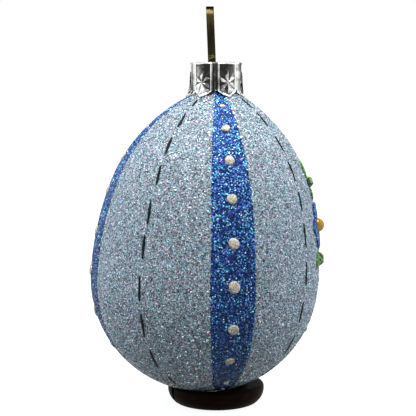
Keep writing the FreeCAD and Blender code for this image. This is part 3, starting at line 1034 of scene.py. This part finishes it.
def ontoCut(point, spot, share):
    # near both ends of the ring a point swings towards the saw cut's flat face
    fromCut = min(share, 1 - share) * ring["columns"]
    if fromCut >= ring["cutColumns"]:
        return point
    half = ring["slitWidth"] / 2
    out = outwards(ring["slitAzimuth"])
    sideways = Vector((-out.y, out.x, 0))
    wanted = sideways * (half if share < 0.5 else -half) + out * math.sqrt(spot.x ** 2 - half ** 2)
    return point.lerp(wanted, 1 - fromCut / ring["cutColumns"]).normalized() * spot.x


def ringObject():
    points = []
    half = math.degrees(math.asin(ring["slitWidth"] / 2 / ring["bore"]))
    for k in range(ring["columns"] + 1):
        share = k / ring["columns"]
        azimuth = ring["slitAzimuth"] + half + (360 - 2 * half) * share
        for spot in ringProfile(azimuth):
            point = ontoCut(outwards(azimuth) * spot.x, spot, share)
            points.append(Vector((point.x, point.y, spot.y)))
    rows = ring["columns"] + 1
    made = makeObject("splitRing", points, loftFaces(len(points) // rows, rows), finishes["lacquer"])
    outwardFaces(made.data)
    for face in made.data.polygons[-2:]:
        face.use_smooth = False
    return made


settle(ringObject(), "stand", "ring_lacquer", "ring_stand")
print("ring made")


cap = {
    "panels": 6,
    "radius": 7.45,
    "sheet": 0.3,
    "turn": -3.0,
    "pleatHalf": 7.5,
    "pleatRadius": 6.5,
    "tipKept": 0.6,  # of the length that the egg is in the way of
    "flareSlope": 1.9,
    "tip": 89.6,
    "notch": 92.3,
    "clearance": 0.5,  # above the glass
    "top": 100.0,
    "shoulder": 0.5,
    "border": 0.24,
    "borderRise": 0.18,
    "starHeight": 94.2,
    "starReach": 3.2,
    "starDepth": 0.5,
    "starHalf": 0.36,  # half a ray's width, and where along it that is, as shares of its reach
    "starWaist": 0.45,
    "starShades": (0.72, 0.1),  # painted light and painted shade on a ray's two facets
    "ribWidths": (0.17, 0.1),  # along the point and up the sides
    "grooveAt": 0.38,
    "grooveWidth": 0.16,
    "fieldDepth": 0.16,
    "columns": 60,
    "rows": 72,
    "slot": (2.45, 0.7),
    "slotOffset": 2.5,
    "slotShift": -1.23,
    "starTurns": (4, -9, 12, 0, -5, 8),
    "foldShare": 0.12,  # share of a panel's columns that each flank of a pleat gets
    "topRadius": 6.3,
    "topRings": (0.94, 0.86, 0.78, 0.74, 0.70, 0.6, 0.45, 0.3, 0.15),
    "pressedRings": (0.78, 0.74),
    "pressed": 0.12,
}


def clamped(value, low=0, high=1):
    return min(max(value, low), high)


def starRelief(u, v, turn):
    # a six-rayed star of kites, each with two facets: how high, and its painted shade, one facet lit and one
    # shaded
    reach = math.hypot(u, v) / cap["starReach"]
    away = (math.atan2(u, v) - turn) % (math.pi / 3)
    away -= math.pi / 3 if away > math.pi / 6 else 0
    along, across = reach * math.cos(away), reach * math.sin(away)
    waist = cap["starWaist"]
    wide = cap["starHalf"] * min(along / waist, (1 - along) / (1 - waist))
    if along > 1 or abs(across) >= wide:
        return 0.0, None
    return (1 - abs(across) / wide) * (1 - 0.45 * along), cap["starShades"][0 if across > 0 else 1]


def capColumn(share):
    # the sheet's line at a share of one panel's pitch: azimuth from the pleat, and radius
    pitch = 360 / cap["panels"]
    azimuth = share * pitch
    fromPleat = min(azimuth, pitch - azimuth)
    if fromPleat >= cap["pleatHalf"]:
        return azimuth, cap["radius"]
    deep, edge = outwards(0) * cap["pleatRadius"], outwards(cap["pleatHalf"]) * cap["radius"]
    way = outwards(fromPleat)
    # where the straight flank of the pleat crosses this direction
    flank = edge - deep
    return azimuth, (deep.x * flank.y - deep.y * flank.x) / (way.x * flank.y - way.y * flank.x)


def coatHeight(out, reach):
    # height of the shoulder under the cap's edge
    return standingOn(out, reach, cap["notch"], cap["clearance"], 6)


def panelRelief(azimuth, height, bottom, star):
    # how far the stamping stands out at a spot of a panel, and its painted shade
    pitch = 360 / cap["panels"]
    across = math.radians(pitch / 2 - cap["pleatHalf"]) * cap["radius"]
    u = math.radians(azimuth - pitch / 2) * cap["radius"]
    edgeLow = (height - bottom) * math.cos(math.atan2(cap["notch"] - cap["tip"], across))
    inside = max(min(across - abs(u), edgeLow, cap["top"] - 0.2 - height), 0)
    # the rib is broad along the point, where it carries a painted highlight, and narrow up the sides
    sideways = across - abs(u) < edgeLow
    border = math.exp(-((inside - cap["border"]) / cap["ribWidths"][sideways]) ** 2)
    groove = math.exp(-((inside - cap["border"] - cap["grooveAt"]) / cap["grooveWidth"]) ** 2)
    field = clamped((inside - cap["border"]) / 0.3)
    high, shade = starRelief(u, height - cap["starHeight"], star)
    # off the star the field gets painted shade, darker towards the top of the panel
    if shade is None:
        shade = 0.46 + 0.24 * clamped((height - cap["starHeight"]) / 4, -0.5)
    rise = cap["borderRise"] * border - cap["fieldDepth"] * field + cap["starDepth"] * high * field
    # painted shade: a shadow line along the groove, grey up the sides; a painted highlight on the rib along
    # the point
    return rise, shade * field + 0.3 * groove + (0.3 * (1 - 0.5 * border) if sideways else -0.1 * border)


def columnShares():
    # more columns where the sheet folds
    pleat, fold = cap["pleatHalf"] / 360 * cap["panels"], cap["foldShare"]
    made = []
    for k in range(cap["columns"]):
        t = k / cap["columns"]
        if t < fold:
            made.append(pleat * t / fold)
        elif t > 1 - fold:
            made.append(1 - pleat * (1 - t) / fold)
        else:
            made.append(pleat + (1 - 2 * pleat) * (t - fold) / (1 - 2 * fold))
    return made


def wallPoint(panel, share, up):
    # a spot of the stamped wall, and its painted shade
    pitch = 360 / cap["panels"]
    azimuth, radius = capColumn(share)
    out = outwards(cap["turn"] + panel * pitch + azimuth)
    fromMiddle = abs(azimuth / pitch - 0.5) * 2
    bottom = cap["tip"] + (cap["notch"] - cap["tip"]) * fromMiddle
    # where the egg is in the way, the panel's point is bent out along it
    ground, flare = coatHeight(out, radius), 0.0
    if bottom < ground:
        bottom = ground - cap["tipKept"] * (ground - bottom)
        for _ in range(5):
            flare += (coatHeight(out, radius + flare) - bottom) * cap["flareSlope"]
    height = bottom + (cap["top"] - bottom) * up
    radius += flare * max(1 - up * 2.2, 0) ** 2
    fromPleat = min(azimuth, pitch - azimuth)
    if fromPleat >= cap["pleatHalf"] * 0.98:
        rise, hollow = panelRelief(azimuth, height, bottom, math.radians(cap["starTurns"][panel]))
    else:
        # painted shade, darkest deep in the pleat
        rise, hollow = 0.0, 0.7 - 0.16 * fromPleat / cap["pleatHalf"]
    # the shoulder rolls over into the flat top
    over = max(height - (cap["top"] - cap["shoulder"]), 0) / cap["shoulder"]
    drop = cap["shoulder"] * (1 - math.sqrt(max(1 - over ** 2, 0)))
    point = out * (radius + rise - drop) + Vector((0, 0, height))
    # painted reflection: brighter beside the front and back and on the rolled shoulder; painted shade at the
    # far sides
    aside = abs(point.x)
    paintedGleam = clamped((aside - 3.0) / 2.0) * clamped((6.9 - aside) / 0.7)
    return point, hollow - 0.5 * over - 0.5 * paintedGleam + 0.2 * clamped((aside - 6.5) / 0.7)


def closeTop(points, faces, paintedShades, total):
    # flat top with a pressed ring, closed at the middle; the top is painted bright, the pressed ring in
    # painted shade
    last = len(points) - total
    for ringShare in cap["topRings"]:
        start = len(points)
        pressed = cap["pressed"] if ringShare in cap["pressedRings"] else 0.0
        for k in range(total):
            rimPoint = Vector((points[last + k].x, points[last + k].y, 0))
            evened = cap["topRadius"] + (rimPoint.length - cap["topRadius"]) * max((ringShare - 0.7) / 0.3, 0)
            points.append(rimPoint.normalized() * evened * ringShare + Vector((0, 0, cap["top"] - pressed)))
            # painted shade in the pressed ring, a painted highlight on the rest of the top
            paintedShades.append(0.4 if pressed else 0.0)
            n = (k + 1) % total
            faces.append((last + k, last + n, start + n, start + k))
        last = start
    points.append(Vector((0, 0, cap["top"])))
    paintedShades.append(0.1)
    faces += [(last + k, last + (k + 1) % total, len(points) - 1) for k in range(total)]


def capObject():
    points, faces, paintedShades = [], [], []
    total = cap["columns"] * cap["panels"]
    shares = columnShares()
    for row in range(cap["rows"] + 1):
        for panel in range(cap["panels"]):
            for share in shares:
                point, hollow = wallPoint(panel, share, row / cap["rows"])
                points.append(point)
                paintedShades.append(hollow)
    for row in range(cap["rows"]):
        for k in range(total):
            n = (k + 1) % total
            a, b = row * total, (row + 1) * total
            faces.append((a + k, a + n, b + n, b + k))
    closeTop(points, faces, paintedShades, total)
    made = makeObject("stampedCap", points, faces, finishes["silver"])
    made.data.attributes.new("hollow", "FLOAT", "POINT").data.foreach_set("value", paintedShades)
    thick = made.modifiers.new("sheet", "SOLIDIFY")
    thick.thickness = cap["sheet"] * mm
    thick.offset = -1.0
    return made


def rectangle(middle, wide, deep):
    return [middle + Vector((x * wide / 2, y * deep / 2, 0)) for x, y in ((-1, -1), (1, -1), (1, 1), (-1, 1))]


def slotCutter(sign):
    rim = rectangle(Vector((cap["slotShift"], sign * cap["slotOffset"], cap["top"])), *cap["slot"])
    low = [p - Vector((0, 0, 1.5)) for p in rim]
    high = [p + Vector((0, 0, 1)) for p in rim]
    sides = [(k, (k + 1) % 4, 4 + (k + 1) % 4, 4 + k) for k in range(4)]
    return makeObject("cutter", low + high, sides + [(3, 2, 1, 0), (4, 5, 6, 7)], finishes["silver"])


capPiece = baked(capObject())
cutters = [slotCutter(-1), slotCutter(1)]
for cutter in cutters:
    cut = capPiece.modifiers.new("hole", "BOOLEAN")
    cut.object = cutter
    cut.operation = "DIFFERENCE"
capPiece = baked(capPiece)
for cutter in cutters:
    bpy.data.objects.remove(cutter)
settle(capPiece, "cap", "cap_metal", "cap")
print("cap stamped:", len(capPiece.data.polygons), "faces")


studio = {
    "skyTop": (0.92, 1.08, 1.24),
    "skyLow": (0.235, 0.198, 0.178),
    "skySides": (6.2, 7.1, 7.9),  # added to the left and right, from the middle backwards
    "softbox": 0.42,  # metres across
    "softboxAt": (-5, -120, 620),
    "softboxAim": (0, 0, 50),
    "softboxPower": 4.2,
    "floorTone": 0.12,
    "floorSize": 8000,
    "shownFloor": 0.24,
    "shownGlow": 0.88,
    "camera": (0.0, -329.7, 93.9),
    "aim": (-2.37, 0.0, 57.5),
    "lens": 97.6,
}


def shownInstead(tree, lighting, shown):
    # one shader lights the object, the other is seen: straight by the eye, in a mirror or through glass
    rays = addNode(tree, "ShaderNodeLightPath").outputs
    either = combined(tree, rays["Is Camera Ray"], rays["Is Glossy Ray"], "MAXIMUM")
    seen = combined(tree, either, rays["Is Transmission Ray"], "MAXIMUM")
    shaders = {0: seen, 1: lighting.outputs[0], 2: shown.outputs[0]}
    return addNode(tree, "ShaderNodeMixShader", shaders).outputs[0]


def grey(tone):
    return (tone, tone, tone, 1)


def makeFloor():
    material = bpy.data.materials.new("floorPaper")
    material.use_nodes = True
    tree = material.node_tree
    tree.nodes.clear()
    plain = addNode(tree, "ShaderNodeBsdfDiffuse", {"Color": grey(studio["floorTone"])})
    paper = addNode(tree, "ShaderNodeBsdfDiffuse", {"Color": grey(studio["shownFloor"])})
    glow = addNode(tree, "ShaderNodeEmission", {"Color": grey(1), "Strength": studio["shownGlow"]})
    shown = addNode(tree, "ShaderNodeAddShader", {0: paper.outputs[0], 1: glow.outputs[0]})
    addNode(tree, "ShaderNodeOutputMaterial", {"Surface": shownInstead(tree, plain, shown)})
    corners = rectangle(Vector((0, 0, 0)), studio["floorSize"], studio["floorSize"])
    makeObject("floor", corners, [(0, 1, 2, 3)], material)


def makeWorld():
    world = bpy.data.worlds.new("studio")
    scene.world = world
    world.use_nodes = True
    tree = world.node_tree
    tree.nodes.clear()
    way = addNode(tree, "ShaderNodeTexCoord").outputs["Generated"]
    x, y, z = addNode(tree, "ShaderNodeSeparateXYZ", {0: way}).outputs
    backwards = measure(tree, y, -0.5, 0.6, 0.0, 1.0)
    beside = combined(tree, combined(tree, x, x, "MULTIPLY"), backwards, "MULTIPLY")
    sides = combined(tree, beside, measure(tree, z, -0.4, 0.5, 0.35, 1.0), "MULTIPLY")
    dome = ramp(tree, measure(tree, z, -0.2, 1.0, 0.0, 1.0), [(0, studio["skyLow"]), (1, studio["skyTop"])])
    # the dark side of the room is where the viewer stands
    dome = scaled(tree, dome, measure(tree, y, -1.0, -0.55, 0.25, 1.0))
    lit = addNode(tree, "ShaderNodeMix", {6: dome, 7: (*studio["skySides"], 1), 0: sides},
                  data_type="RGBA", blend_type="ADD")
    soft = addNode(tree, "ShaderNodeBackground", {"Color": lit.outputs[2], "Strength": 1.0})
    white = addNode(tree, "ShaderNodeBackground", {"Color": grey(1), "Strength": 1.0})
    addNode(tree, "ShaderNodeOutputWorld", {"Surface": shownInstead(tree, soft, white)})


def aimed(name, data, at, aim):
    made = placed(name, data)
    made.location = Vector(at) * mm
    made.rotation_euler = (Vector(aim) * mm - made.location).to_track_quat("-Z", "Y").to_euler()
    return made


makeFloor()
makeWorld()

lamp = bpy.data.lights.new("softbox", "AREA")
lamp.shape = "SQUARE"
lamp.size = studio["softbox"]
lamp.energy = studio["softboxPower"]
aimed("softbox", lamp, studio["softboxAt"], studio["softboxAim"])

lens = bpy.data.cameras.new("camera")
lens.lens = studio["lens"]
lens.clip_start = 0.01
scene.camera = aimed("camera", lens, studio["camera"], studio["aim"])
scene.view_settings.view_transform = "Standard"
print("studio ready")
